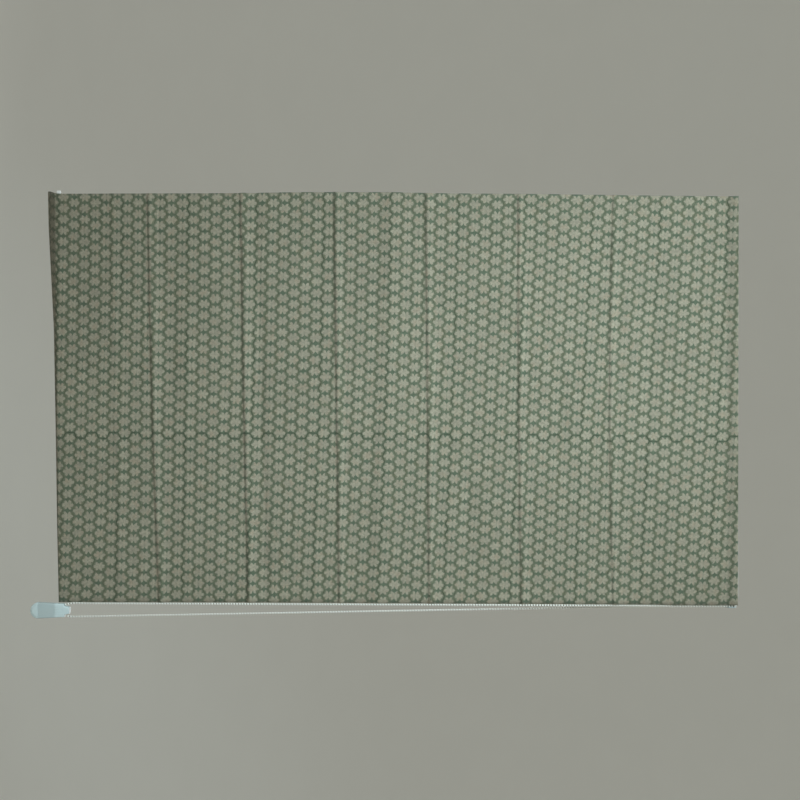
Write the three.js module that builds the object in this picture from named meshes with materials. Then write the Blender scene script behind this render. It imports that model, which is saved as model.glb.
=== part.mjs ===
// A flat roman shade: one printed cloth with six ribs, hung from a headrail and worked by a bead chain.
// Millimetres. Facing the shade, X runs to the right and Z up, and -Y points into the room.
// The origin is the middle of the headrail's top face.

import * as THREE from 'three';

// Headrail, its end cap and the chain drive at its right end
const RAIL_LEFT = -436;
const RAIL_RIGHT = 436;
const RAIL_DEPTH = 25;
const RAIL_HEIGHT = 25;
const RAIL_EDGE = 1.5;
const RAIL_GROOVE_WIDTH = 9;
const RAIL_GROOVE_DEPTH = 2.5;
const END_CAP_LENGTH = 2.7;
const DRIVE_LENGTH = 13.6;
const DRIVE_INSET = 0.4;
const GAP = 0.3;

// Bead chain: 6 mm from bead to bead, ten beads round the wheel
const BEAD_PITCH = 6;
const CHAIN_DIAMETER = 4.5;
const WHEEL_BEADS = 10;
const WHEEL_RADIUS = (WHEEL_BEADS * BEAD_PITCH) / (2 * Math.PI);
const WHEEL_X = 454.5;
const WHEEL_Z = -13.2;
const FLANGE_RADIUS = 12.2;
const FLANGE_THICKNESS = 1.2;
const WHEEL_HUB_RADIUS = 6;
const WHEEL_SEGMENTS = 24;
const CHAIN_SIDES = 8;
const STRAND_STEPS = 34;
const TURN_STEPS = 12;
const CHAIN_JOINT = 0.7;
const CHAIN_FLAT_Z = -1400;
const CHAIN_FLAT_Y = -23.6;
const NEAR_FLAT_X = 446.5;
const FAR_FLAT_X = 474.4;

// Chain tensioner: a round end, a taper, two shoulders where the strands go in, and a tongue
const TENSIONER_X = 461.3;
const TENSIONER_Z = -1523;
const TENSIONER_BACK = -12;
const TENSIONER_FRONT = -32;
const TENSIONER_BASE = 6;
const TENSIONER_RADIUS = 17.4;
const SHOULDER_HALF = 14.3;
const SHOULDER_Z = -1466;
const TONGUE_HALF = 8;
const TONGUE_TOP = -1455.5;
const COVER_BEVEL = 3;
const CHAIN_END_Z = SHOULDER_Z + 2 * GAP;
const CHAIN_END_APART = 12.4;

// Near the tensioner each strand bows away from the other: how far, and how much nearer the room
const CHAIN_BOW = [
  { z: -1430, out: 0.5, nearer: 0.3 },
  { z: -1447, out: 0.7, nearer: 0.4 },
];
const STRAIGHT_PARTS = 8;

// Cloth
const CLOTH_THICKNESS = 1.5;
const CLOTH_FRONT = -15;
const HEADING_FRONT = -14.6;
const HEADING_LIP = 0.8;
const HEADING_DROP = 25;
const HEADING_BLEND = 24;
const COLUMNS = 12;
const LONGEST_ROW_STEP = 30;
const WINDOW_BLEND = 70;

// Where the cloth's two long edges run, from the top down
const LEFT_EDGE = [
  { z: 0, x: -440 },
  { z: -90, x: -440.4 },
  { z: -230, x: -441.8 },
  { z: -410, x: -444.6 },
  { z: -640, x: -446.4 },
  { z: -780, x: -449 },
  { z: -950, x: -449 },
  { z: -1090, x: -446.8 },
  { z: -1490, x: -445.3 },
];
const RIGHT_EDGE = [
  { z: 0, x: 452 },
  { z: -140, x: 452 },
  { z: -190, x: 450.6 },
  { z: -520, x: 448.9 },
  { z: -870, x: 446.9 },
  { z: -1065, x: 446 },
  { z: -1490, x: 445.4 },
];

// Ribs: the crest's height at the left and right edge, its sag in the middle, and how far it stands out
const RIBS = [
  { name: 'rib_1', left: -269, right: -269, sag: 8, out: 2.8 },
  { name: 'rib_2', left: -476.5, right: -470, sag: 2, out: 3.2 },
  { name: 'rib_3', left: -678, right: -670.5, sag: 0, out: 3.6 },
  { name: 'rib_4', left: -877.6, right: -866.8, sag: 0, out: 4 },
  { name: 'rib_5', left: -1081.5, right: -1065, sag: 1, out: 4.2 },
  { name: 'rib_6', left: -1284, right: -1259, sag: 3, out: 4.2 },
];
const RIB_ABOVE = 10;
const RIB_BELOW = 7.5;
const RIB_ROWS = [22, 11, 5, 1.5, -1.5, -5, -9.5, -17];
const ROD_RADIUS = 2;
const ROD_LEFT = -438;
const ROD_RIGHT = 438;
const ROD_SIDES = 8;
const ROD_STEPS = 6;
const ROD_CLEARANCE = 0.5;

// Other main folds: a line across the cloth, the stretch of X it shows on, and how it stands out
const FOLDS = [
  { name: 'bulge', left: -754, right: -787, from: -700, to: 700, out: 3.2, above: 34, below: 15 },
  { name: 'dip_by_rib_5', left: -1051, right: -1030, from: -700, to: 700, out: -2.2, above: 9, below: 9 },
  { name: 'hollow_low', left: -1243, right: -1236, from: -280, to: 30, out: -2.6, above: 20, below: 20 },
  { name: 'hollow_middle', left: -600, right: -588, from: 150, to: 390, out: -2.4, above: 22, below: 18 },
  { name: 'line_low', left: -1366, right: -1348, from: -700, to: 700, out: 1.3, above: 12, below: 8 },
];
const FOLD_ROWS = { above: [1, 0.5], below: [-0.5, -1.2] };

// Bottom bar in the hem: the height of its lower edge, and its flat section
const BAR_LEFT_Z = -1488;
const BAR_RIGHT_Z = -1479;
const BAR_LEFT = -444;
const BAR_RIGHT = 436;
const BAR_THICKNESS = 3;
const BAR_HEIGHT = 9;
const BAR_BACK = -9.2;
const CAP_LENGTH = 8.3;
const CAP_THICKNESS = 5;
const CAP_HEIGHT = 10;
const CAP_CORNER = 2.2;

// Hem: its lowest line, from left to right, and where its back layer runs
const HEM_LOW = [
  { x: -452, z: -1503 },
  { x: -366, z: -1503 },
  { x: -148, z: -1493 },
  { x: 70, z: -1490.5 },
  { x: 288, z: -1487 },
  { x: 452, z: -1482.5 },
];
const CREASE_BELOW_BAR = 1;
const HEM_LEFT = -452.2;

// The hem's path round the bar, in the middle of the cloth: back from its front plane and up from the
// crease, what each gains for every millimetre of slack below the crease, and how far the left edge spreads
const HEM_PATH = [
  { back: 0, backSlack: 0, up: 1.5, upSlack: 0, spread: 0.1 },
  { back: 0.7, backSlack: 0.12, up: -0.2, upSlack: -0.35, spread: 0.6 },
  { back: 1.3, backSlack: 0.38, up: 0, upSlack: -0.75, spread: 1 },
  { back: 2.7, backSlack: 0.58, up: 0.75, upSlack: -1, spread: 1 },
  { back: 5.2, backSlack: 0.6, up: 1.2, upSlack: -0.7, spread: 0.8 },
  { back: 7.45, backSlack: 0.1, up: 5, upSlack: 0, spread: 0.4 },
  { back: 7.45, backSlack: 0, up: 13, upSlack: 0, spread: 0.1 },
  { back: 6.85, backSlack: 0, up: 22, upSlack: 0, spread: 0 },
  { back: 2, backSlack: 0, up: 33, upSlack: 0, spread: 0 },
  { back: 2, backSlack: 0, up: 38, upSlack: 0, spread: 0 },
];

const X_SPAN = { left: -446, right: 446 };

const fabric = () => new THREE.MeshStandardMaterial({ color: 0x93a08a, roughness: 0.9, metalness: 0 });
const whitePlastic = () => new THREE.MeshStandardMaterial({ color: 0xdfe5e4, roughness: 0.4, metalness: 0 });
const beadPlastic = () => new THREE.MeshStandardMaterial({ color: 0xe6eae4, roughness: 0.35, metalness: 0 });
const painted = () => new THREE.MeshStandardMaterial({ color: 0xe4e6e4, roughness: 0.45, metalness: 0.6 });
const glassFibre = () => new THREE.MeshStandardMaterial({ color: 0xd9d6c8, roughness: 0.5, metalness: 0 });

const group = new THREE.Group();

function add(name, geometry, material) {
  const mesh = new THREE.Mesh(geometry, material);
  mesh.name = name;
  group.add(mesh);
  return mesh;
}

const mix = (a, b, t) => a + (b - a) * t;
const smooth = (t) => {
  const s = Math.min(1, Math.max(0, t));
  return s * s * (3 - 2 * s);
};

// The value of a table with two named columns at one place, straight between its rows
function read(table, key, value, at) {
  const ordered = [...table].sort((a, b) => a[key] - b[key]);
  const next = ordered.findIndex((row) => row[key] >= at);
  if (next === 0) return ordered[0][value];
  if (next < 0) return ordered[ordered.length - 1][value];
  const [low, high] = [ordered[next - 1], ordered[next]];
  return mix(low[value], high[value], (at - low[key]) / (high[key] - low[key]));
}

// The height of a line across the cloth, with its sag, at one X
function lineAt(line, x) {
  const t = (x - X_SPAN.left) / (X_SPAN.right - X_SPAN.left);
  return mix(line.left, line.right, t) - 4 * (line.sag || 0) * t * (1 - t);
}

function hump(distance, above, below) {
  const width = distance > 0 ? above : below;
  return Math.exp(-((distance / width) ** 2));
}

function across(fold, x) {
  return smooth((x - fold.from) / WINDOW_BLEND) * smooth((fold.to - x) / WINDOW_BLEND);
}

// How far the ribs and folds push the cloth into the room
function relief(x, z) {
  let out = 0;
  for (const rib of RIBS) {
    out += rib.out * hump(z - lineAt(rib, x), RIB_ABOVE, RIB_BELOW);
  }
  for (const fold of FOLDS) {
    out += fold.out * across(fold, x) * hump(z - lineAt(fold, x), fold.above, fold.below);
  }
  return out;
}

// The cloth's front face: flat on the rail, with its top edge a little proud, and free below it
function frontAt(x, z) {
  const heading = HEADING_FRONT - HEADING_LIP * smooth(1 + z / HEADING_DROP);
  const below = smooth((-z - HEADING_DROP) / HEADING_BLEND);
  return mix(heading, CLOTH_FRONT, below) - relief(x, z);
}

// Lines across the cloth that its rows follow, from the top down
function rowLines() {
  const shifted = (line, by) => ({ left: line.left + by, right: line.right + by, sag: line.sag || 0 });
  const top = { left: 0, right: -1.5 };
  const lines = [shifted(top, 0), shifted(top, -HEADING_DROP / 2), shifted(top, -HEADING_DROP)];
  lines.push(shifted(top, -HEADING_DROP - HEADING_BLEND));
  for (const rib of RIBS) {
    lines.push(...RIB_ROWS.map((by) => shifted(rib, by)));
  }
  for (const fold of FOLDS.slice(0, 2)) {
    lines.push(shifted(fold, 0));
    lines.push(...FOLD_ROWS.above.map((by) => shifted(fold, by * fold.above)));
    lines.push(...FOLD_ROWS.below.map((by) => shifted(fold, by * fold.below)));
  }
  const crease = { left: BAR_LEFT_Z - CREASE_BELOW_BAR, right: BAR_RIGHT_Z - CREASE_BELOW_BAR };
  lines.push(shifted(crease, 12));
  lines.sort((a, b) => b.left + b.right - a.left - a.right);
  return lines;
}

// The same lines, with more of them wherever two lie far apart
function filledLines() {
  const lines = rowLines();
  const filled = [lines[0]];
  for (let i = 1; i < lines.length; i += 1) {
    const [upper, lower] = [lines[i - 1], lines[i]];
    const gap = Math.max(upper.left - lower.left, upper.right - lower.right);
    const parts = Math.ceil(gap / LONGEST_ROW_STEP);
    for (let k = 1; k <= parts; k += 1) {
      filled.push({
        left: mix(upper.left, lower.left, k / parts),
        right: mix(upper.right, lower.right, k / parts),
        sag: mix(upper.sag, lower.sag, k / parts),
      });
    }
  }
  return filled;
}

// The hem's own rows below the last line, and how far its left edge spreads at each
function hemPath(x) {
  const front = CLOTH_FRONT + CLOTH_THICKNESS / 2;
  const t = (x - X_SPAN.left) / (X_SPAN.right - X_SPAN.left);
  const crease = mix(BAR_LEFT_Z, BAR_RIGHT_Z, t) - CREASE_BELOW_BAR;
  const slack = crease - read(HEM_LOW, 'x', 'z', x);
  return HEM_PATH.map((row) => ({
    y: front + row.back + row.backSlack * slack,
    z: crease + row.up + row.upSlack * slack,
    spread: row.spread,
  }));
}

// One column of the cloth's middle surface, from its top edge down and round the hem
function clothColumn(u, lines) {
  const rows = [];
  const nominal = mix(X_SPAN.left, X_SPAN.right, u);
  for (const line of lines) {
    const z = lineAt(line, nominal);
    const x = mix(read(LEFT_EDGE, 'z', 'x', z), read(RIGHT_EDGE, 'z', 'x', z), u);
    rows.push({ x, y: frontAt(x, z) + CLOTH_THICKNESS / 2, z });
  }
  for (const row of hemPath(nominal)) {
    const left = mix(read(LEFT_EDGE, 'z', 'x', row.z), HEM_LEFT, row.spread);
    rows.push({ x: mix(left, read(RIGHT_EDGE, 'z', 'x', row.z), u), y: row.y, z: row.z });
  }
  return rows;
}

// Front and back points half a thickness either side of a column
function thicken(column) {
  return column.map((point, i) => {
    const before = column[Math.max(0, i - 1)];
    const after = column[Math.min(column.length - 1, i + 1)];
    const [dy, dz] = [after.y - before.y, after.z - before.z];
    const half = CLOTH_THICKNESS / 2 / Math.hypot(dy, dz);
    return {
      front: [point.x, point.y + dz * half, point.z - dy * half],
      back: [point.x, point.y - dz * half, point.z + dy * half],
    };
  });
}

// A closed solid from a grid of front and back points, columns from left to right
function sheetSolid(columns) {
  const rows = columns[0].length;
  const positions = [];
  for (const column of columns) {
    for (const pair of column) positions.push(...pair.front, ...pair.back);
  }
  const front = (i, j) => 2 * (j * rows + i);
  const back = (i, j) => front(i, j) + 1;
  const index = [];
  const quad = (a, b, c, d) => index.push(a, b, c, a, c, d);
  const last = { row: rows - 1, column: columns.length - 1 };
  for (let j = 0; j < last.column; j += 1) {
    for (let i = 0; i < last.row; i += 1) {
      quad(front(i, j), front(i + 1, j), front(i + 1, j + 1), front(i, j + 1));
      quad(back(i, j), back(i, j + 1), back(i + 1, j + 1), back(i + 1, j));
    }
    quad(front(0, j), front(0, j + 1), back(0, j + 1), back(0, j));
    quad(front(last.row, j + 1), front(last.row, j), back(last.row, j), back(last.row, j + 1));
  }
  for (let i = 0; i < last.row; i += 1) {
    quad(front(i + 1, 0), front(i, 0), back(i, 0), back(i + 1, 0));
    const j = last.column;
    quad(front(i, j), front(i + 1, j), back(i + 1, j), back(i, j));
  }
  const geometry = new THREE.BufferGeometry();
  geometry.setAttribute('position', new THREE.Float32BufferAttribute(positions, 3));
  geometry.setIndex(index);
  geometry.computeVertexNormals();
  return geometry;
}

// A shape drawn in Y and Z, carried along X
function alongX(shape, left, right) {
  const geometry = new THREE.ExtrudeGeometry(shape, { depth: right - left, bevelEnabled: false });
  const [x, y, z] = [new THREE.Vector3(0, 1, 0), new THREE.Vector3(0, 0, 1), new THREE.Vector3(1, 0, 0)];
  geometry.applyMatrix4(new THREE.Matrix4().makeBasis(x, y, z).setPosition(left, 0, 0));
  return geometry;
}

// A shape drawn in X and Z, carried towards the room from the plane Y = back
function towardsRoom(shape, back, options) {
  const geometry = new THREE.ExtrudeGeometry(shape, options);
  const [x, y, z] = [new THREE.Vector3(1, 0, 0), new THREE.Vector3(0, 0, 1), new THREE.Vector3(0, -1, 0)];
  geometry.applyMatrix4(new THREE.Matrix4().makeBasis(x, y, z).setPosition(0, back, 0));
  return geometry;
}

function polygon(points) {
  return new THREE.Shape(points.map(([a, b]) => new THREE.Vector2(a, b)));
}

// A rectangle with cut or round corners, by its middle and half sizes
function plate(y, z, halfY, halfZ, corner, steps) {
  const centres = [
    { y: y + halfY - corner, z: z - halfZ + corner, from: -90 },
    { y: y + halfY - corner, z: z + halfZ - corner, from: 0 },
    { y: y - halfY + corner, z: z + halfZ - corner, from: 90 },
    { y: y - halfY + corner, z: z - halfZ + corner, from: 180 },
  ];
  const points = [];
  for (const centre of centres) {
    for (let k = 0; k <= steps; k += 1) {
      const angle = THREE.MathUtils.degToRad(centre.from + (90 * k) / steps);
      points.push([centre.y + corner * Math.cos(angle), centre.z + corner * Math.sin(angle)]);
    }
  }
  return polygon(points);
}

function makeCloth() {
  const lines = filledLines();
  const columns = [];
  for (let j = 0; j <= COLUMNS; j += 1) {
    columns.push(thicken(clothColumn(j / COLUMNS, lines)));
  }
  add('cloth', sheetSolid(columns), fabric());
}

// A flat top and front, and one shallow groove down the back for clips
function makeRail() {
  const half = RAIL_DEPTH / 2;
  const middle = -RAIL_HEIGHT / 2;
  const shape = polygon([
    [-half + RAIL_EDGE, -RAIL_HEIGHT],
    [half - RAIL_EDGE, -RAIL_HEIGHT],
    [half, -RAIL_HEIGHT + RAIL_EDGE],
    [half, middle - RAIL_GROOVE_WIDTH / 2],
    [half - RAIL_GROOVE_DEPTH, middle - RAIL_GROOVE_WIDTH / 2],
    [half - RAIL_GROOVE_DEPTH, middle + RAIL_GROOVE_WIDTH / 2],
    [half, middle + RAIL_GROOVE_WIDTH / 2],
    [half, 0],
    [-half, 0],
    [-half, -RAIL_HEIGHT + RAIL_EDGE],
  ]);
  add('headrail', alongX(shape, RAIL_LEFT, RAIL_RIGHT), painted());
  const ends = plate(0, middle, half - DRIVE_INSET, -middle - DRIVE_INSET, 2, 3);
  const capRight = RAIL_LEFT - GAP;
  add('headrail_end', alongX(ends, capRight - END_CAP_LENGTH, capRight), whitePlastic());
  const driveLeft = RAIL_RIGHT + GAP;
  add('chain_drive', alongX(ends, driveLeft, driveLeft + DRIVE_LENGTH), whitePlastic());
}

// A grooved wheel on the rail's axis, its hub against the drive
function makeWheel() {
  const groove = CHAIN_DIAMETER / 2 + GAP;
  const hubLeft = RAIL_RIGHT + GAP + DRIVE_LENGTH + GAP;
  const profile = [
    [0, hubLeft],
    [WHEEL_HUB_RADIUS, hubLeft],
    [WHEEL_HUB_RADIUS, WHEEL_X - groove - FLANGE_THICKNESS],
    [FLANGE_RADIUS, WHEEL_X - groove - FLANGE_THICKNESS],
    [FLANGE_RADIUS, WHEEL_X - groove],
    [WHEEL_RADIUS - groove, WHEEL_X - groove],
    [WHEEL_RADIUS - groove, WHEEL_X + groove],
    [FLANGE_RADIUS, WHEEL_X + groove],
    [FLANGE_RADIUS, WHEEL_X + groove + FLANGE_THICKNESS],
    [0, WHEEL_X + groove + FLANGE_THICKNESS],
  ];
  const geometry = new THREE.LatheGeometry(
    profile.map(([radius, along]) => new THREE.Vector2(radius, along)),
    WHEEL_SEGMENTS,
  );
  geometry.rotateZ(-Math.PI / 2);
  const wheel = add('chain_wheel', geometry, whitePlastic());
  wheel.position.set(0, 0, WHEEL_Z);
}

function ring(radius, sides) {
  const points = [];
  for (let k = 0; k < sides; k += 1) {
    const angle = ((k + 0.5) * 2 * Math.PI) / sides;
    points.push([radius * Math.cos(angle), radius * Math.sin(angle)]);
  }
  return polygon(points);
}

function tube(path, radius, sides, steps) {
  return new THREE.ExtrudeGeometry(ring(radius, sides), { steps, extrudePath: path, bevelEnabled: false });
}

function makeRods() {
  for (const rib of RIBS) {
    const y = CLOTH_FRONT - rib.out + CLOTH_THICKNESS + ROD_CLEARANCE + ROD_RADIUS;
    const points = [];
    for (let k = 0; k <= ROD_STEPS; k += 1) {
      const x = mix(ROD_LEFT, ROD_RIGHT, k / ROD_STEPS);
      points.push(new THREE.Vector3(x, y, lineAt(rib, x)));
    }
    const path = new THREE.CatmullRomCurve3(points, false, 'centripetal');
    add(`${rib.name}_rod`, tube(path, ROD_RADIUS, ROD_SIDES, ROD_STEPS), glassFibre());
  }
}

// A flat bar in the hem, a little lower at its left end, and a white cap at each end of it
function makeBottomBar() {
  const slope = (BAR_RIGHT_Z - BAR_LEFT_Z) / (X_SPAN.right - X_SPAN.left);
  const middleY = BAR_BACK - BAR_THICKNESS / 2;
  const middleZ = (BAR_LEFT_Z + BAR_RIGHT_Z) / 2 + CAP_HEIGHT / 2;
  const bar = plate(middleY, 0, BAR_THICKNESS / 2, BAR_HEIGHT / 2, 0.5, 1);
  const cap = plate(middleY, 0, CAP_THICKNESS / 2, CAP_HEIGHT / 2, CAP_CORNER, 3);
  const pieces = [
    ['bottom_bar', bar, BAR_LEFT, BAR_RIGHT, painted()],
    ['bar_cap_left', cap, BAR_LEFT - GAP - CAP_LENGTH, BAR_LEFT - GAP, whitePlastic()],
    ['bar_cap_right', cap, BAR_RIGHT + GAP, BAR_RIGHT + GAP + CAP_LENGTH, whitePlastic()],
  ];
  for (const [name, shape, left, right, material] of pieces) {
    const piece = add(name, alongX(shape, left, right), material);
    piece.rotation.y = -Math.atan(slope);
    piece.position.z = middleZ;
  }
}

// The strands run down from the wheel, bow out a little and go into the tensioner's shoulders
function strandPoints(side) {
  const flatX = side < 0 ? NEAR_FLAT_X : FAR_FLAT_X;
  const top = new THREE.Vector3(WHEEL_X, side * WHEEL_RADIUS, WHEEL_Z - CHAIN_JOINT / 2);
  const flat = new THREE.Vector3(flatX, CHAIN_FLAT_Y, CHAIN_FLAT_Z);
  const points = [];
  for (let k = 0; k <= STRAIGHT_PARTS; k += 1) {
    points.push(top.clone().lerp(flat, k / STRAIGHT_PARTS));
  }
  for (const bow of CHAIN_BOW) {
    points.push(new THREE.Vector3(flatX + side * bow.out, CHAIN_FLAT_Y - bow.nearer, bow.z));
  }
  const last = points[points.length - 1];
  points.push(new THREE.Vector3(TENSIONER_X + side * CHAIN_END_APART, last.y, CHAIN_END_Z));
  return points;
}

function makeChain() {
  for (const [name, side] of [['chain_near', -1], ['chain_far', 1]]) {
    const path = new THREE.CatmullRomCurve3(strandPoints(side), false, 'centripetal');
    add(name, tube(path, CHAIN_DIAMETER / 2, CHAIN_SIDES, STRAND_STEPS), beadPlastic());
  }
  const turn = [];
  for (let k = 0; k <= TURN_STEPS; k += 1) {
    const angle = (Math.PI * k) / TURN_STEPS;
    const y = -WHEEL_RADIUS * Math.cos(angle);
    turn.push(new THREE.Vector3(WHEEL_X, y, WHEEL_Z + CHAIN_JOINT / 2 + WHEEL_RADIUS * Math.sin(angle)));
  }
  const path = new THREE.CatmullRomCurve3(turn, false, 'centripetal');
  add('chain_turn', tube(path, CHAIN_DIAMETER / 2, CHAIN_SIDES, TURN_STEPS), beadPlastic());
}

function tensionerOutline(inset) {
  const radius = TENSIONER_RADIUS - inset;
  const shoulder = SHOULDER_HALF - inset;
  const tongue = TONGUE_HALF - inset;
  const points = [
    [TENSIONER_X + shoulder, SHOULDER_Z - inset],
    [TENSIONER_X + tongue, SHOULDER_Z - inset],
    [TENSIONER_X + tongue - 1.5, TONGUE_TOP - inset],
    [TENSIONER_X - tongue + 1.5, TONGUE_TOP - inset],
    [TENSIONER_X - tongue, SHOULDER_Z - inset],
    [TENSIONER_X - shoulder, SHOULDER_Z - inset],
  ];
  for (let k = 0; k <= 12; k += 1) {
    const angle = Math.PI + (Math.PI * k) / 12;
    points.push([TENSIONER_X + radius * Math.cos(angle), TENSIONER_Z + radius * Math.sin(angle)]);
  }
  return polygon(points);
}

// A flat base against what it is screwed to, and a round-edged cover on it
function makeTensioner() {
  const base = towardsRoom(tensionerOutline(1), TENSIONER_BACK, { depth: TENSIONER_BASE, bevelEnabled: false });
  add('tensioner_base', base, whitePlastic());
  const coverBack = TENSIONER_BACK - TENSIONER_BASE - GAP;
  const options = {
    depth: coverBack - TENSIONER_FRONT - 2 * COVER_BEVEL,
    bevelThickness: COVER_BEVEL,
    bevelSize: COVER_BEVEL,
    bevelSegments: 2,
  };
  const cover = towardsRoom(tensionerOutline(COVER_BEVEL), coverBack - COVER_BEVEL, options);
  add('tensioner_cover', cover, whitePlastic());
}

makeRail();
makeWheel();
makeCloth();
makeRods();
makeBottomBar();
makeChain();
makeTensioner();

export default group;
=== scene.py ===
"""A flat roman shade on its headrail, with its bead chain, let right down.

Sizes are in millimetres and are turned into metres where a mesh is made. Facing the shade, X runs to the
right and Z up, and -Y points into the room. The picture is turned a quarter: its right side is the top.
"""
import math

import bpy
from mathutils import Matrix, Vector, noise


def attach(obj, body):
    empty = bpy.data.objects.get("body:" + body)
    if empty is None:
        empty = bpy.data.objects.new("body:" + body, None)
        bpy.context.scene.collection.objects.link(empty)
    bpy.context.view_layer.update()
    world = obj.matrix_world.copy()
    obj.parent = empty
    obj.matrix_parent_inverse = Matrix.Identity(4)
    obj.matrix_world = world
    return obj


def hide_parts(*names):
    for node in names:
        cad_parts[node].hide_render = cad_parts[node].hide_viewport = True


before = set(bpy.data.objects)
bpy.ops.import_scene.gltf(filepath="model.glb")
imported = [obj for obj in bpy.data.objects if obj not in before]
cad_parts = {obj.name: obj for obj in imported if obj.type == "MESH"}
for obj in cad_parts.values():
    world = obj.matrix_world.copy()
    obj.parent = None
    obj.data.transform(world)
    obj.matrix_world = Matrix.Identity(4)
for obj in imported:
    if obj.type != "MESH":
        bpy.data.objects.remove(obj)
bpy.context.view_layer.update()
MM = 0.001

# Camera, square to the cloth and rolled a quarter turn
VIEW_MIDDLE = (4.4, -737.9)
VIEW_WIDTH = 1744
VIEW_DISTANCE = 3000
SENSOR = 36

# Bead chain: the route repeats the one of the chain's solids; strand -1 is the near one, 1 the far one
BEAD_PITCH = 6
BEAD_RADIUS = 2.25
BEAD_SIDES = 10
BEAD_RINGS = 9
BEAD_ARC = 0.88
THREAD_RADIUS = 1.0
WHEEL_RADIUS = 60 / (2 * math.pi)
WHEEL_X = 454.5
WHEEL_Z = -13.2
CHAIN_FLAT_Z = -1400
CHAIN_FLAT_Y = -23.6
FLAT_X = {-1: 446.5, 1: 474.4}
CHAIN_BOW = [(-1430, 0.5, 0.3), (-1447, 0.7, 0.4)]
CHAIN_END_Z = -1467.5
CHAIN_END_APART = 12.4
STRAND_PARTS, BOW_PARTS, TURN_PARTS = 16, 6, 24

# Wheel, and the recess in its right face: radius, X from the groove's edge
AXLE_HOLE = 0.8
FLANGE_RADIUS = 12.2
FLANGE_THICKNESS = 1.2
FLANGE_CHAMFER = 0.5
GROOVE_CHAMFER = 0.4
GROOVE_HALF = 2.55
GROOVE_PARTS = 8
WHEEL_HUB_RADIUS = 6
WHEEL_HUB_LEFT = 450.2
WHEEL_SIDES = 48
WHEEL_RECESS = [(5.2, FLANGE_THICKNESS), (4.8, 0.6), (2.4, 0.6), (2.0, FLANGE_THICKNESS)]

# Tensioner: its dome, ridges and pale ends are placed from its middle
TENSIONER_X = 461.3
TENSIONER_Z = -1523
TENSIONER_RADIUS = 17.4
TENSIONER_PARTS = 32
COVER_BACK = -18.3
COVER_FRONT = -31
COVER_EDGE = 3
SHOULDER_HALF = 14.3
SHOULDER_Z = -1466
TONGUE_FOOT = 9.6
TONGUE_END = 7
TONGUE_TOP = -1455.5
DOME_RADIUS = 13.2
DOME_FRONT = -32
DOME_SUNK = 0.8
DOME_EDGE = 0.9
DOME_DROP = 0.4
DOME_PARTS = 24
RIDGES = 5
RIDGE_PITCH = 3.5
RIDGE_LEAN = 0.05
RIDGE_HALF = 0.6
RIDGE_LOW, RIDGE_HIGH = 34, 54
RIDGE_OUT, RIDGE_SUNK, RIDGE_EDGE = 0.35, 0.6, 0.5
PALE_BELOW, PALE_ABOVE = (1.0, -1.0), (33.0, 40.0)
PALE_AND_SHADE = 0.28
# Painted shade on the tensioner's faces that look up
SHADE_ON_TOP = 2.6

# Cloth: its front lies FACE_OUT in front of the line that each column follows
CLOTH_THICKNESS = 1.0
FACE_OUT = 0.75
CLOTH_FRONT = -15
HEADING_FRONT = -14.6
HEADING_LIP = 2.6
HEADING_DROP = 24
HEADING_BLEND = 24
X_LEFT, X_RIGHT = -446, 446
COLUMNS = 80
FINE_STEP = 1.6
COARSE_STEP = 4.0
FINE_NEAR_RIB = 22
FINE_BELOW_TOP = 50

# Where the cloth's long edges run: height, X
LEFT_EDGE = [
    (0, -440), (-90, -440.4), (-230, -441.8), (-410, -444.6), (-640, -446.4),
    (-780, -449), (-950, -449), (-1090, -446.8), (-1490, -445.3),
]
RIGHT_EDGE = [
    (0, 452), (-140, 452), (-190, 450.6), (-520, 448.9), (-870, 446.9), (-1065, 446), (-1490, 445.4),
]

# Ribs: crest height at the left and right edge, sag in the middle, how far out
RIBS = [
    (-269, -269, 8, 2.8),
    (-476.5, -470, 2, 3.2),
    (-678, -670.5, 0, 3.6),
    (-877.6, -866.8, 0, 4.0),
    (-1081.5, -1065, 1, 4.2),
    (-1284, -1259, 3, 4.2),
]
RIB_ABOVE, RIB_BELOW = 10, 5.0
TOP_LINE = (0, -1.5, 0)
BOTTOM_LINE = (-1477, -1468, 0)

# Folds: height at the left and right edge, from X, to X, out, width above and below
FOLDS = [
    (-754, -787, -700, 700, 3.2, 34, 15),
    (-1051, -1030, -700, 700, -2.2, 9, 9),
    (-1243, -1236, -280, 30, -2.6, 20, 20),
    (-600, -588, 150, 390, -2.4, 22, 18),
    (-1366, -1348, -700, 700, 1.9, 12, 5.5),
    (-1209, -1200, -700, 700, 0.8, 6, 5),
    (-1141, -1130, -40, 430, 0.8, 7, 5),
    (-928, -921, 100, 470, 1.0, 6, 4),
    (-368, -366, -120, 130, 1.4, 10, 8),
    (-356, -339, 50, 430, 0.9, 5, 4),
    (-1265, -1262, -700, -310, -1.1, 2.6, 2.6),
]
FOLD_FADE = 70

# How far ribs and folds wander up and down, over what width, and their own places in the noise
RIB_WANDER = (1.1, 90, 5.3, 0)
FOLD_WANDER = (2.4, 120, 3.7, 9.0)

# Soft waves: width, height, place in the noise, how far out
WAVES = [
    (300, 85, 3.1, 1.5),
    (110, 24, 7.7, 0.5),
]
WAVES_OUT = 0.5
STIFF_NEAR_RIB = 16

# Rods behind the ribs
ROD_RADIUS = 2
ROD_CHAMFER = 0.5
ROD_LEFT, ROD_RIGHT = -438 + ROD_CHAMFER, 438 - ROD_CHAMFER
ROD_BACK = 4.0
ROD_PARTS = 24
ROD_SIDES = 16

# Hem and bottom bar, with the hem's lowest line: X, height
BAR_LEFT_Z, BAR_RIGHT_Z = -1488, -1479
BAR_MIDDLE_Y = -10.7
CREASE_BELOW_BAR = 1
HEM_LEFT = -452.2
HEM_LOW = [(-452, -1510.5), (-366, -1508.5), (-148, -1495), (70, -1490.5), (288, -1487), (452, -1482.5)]

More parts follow.
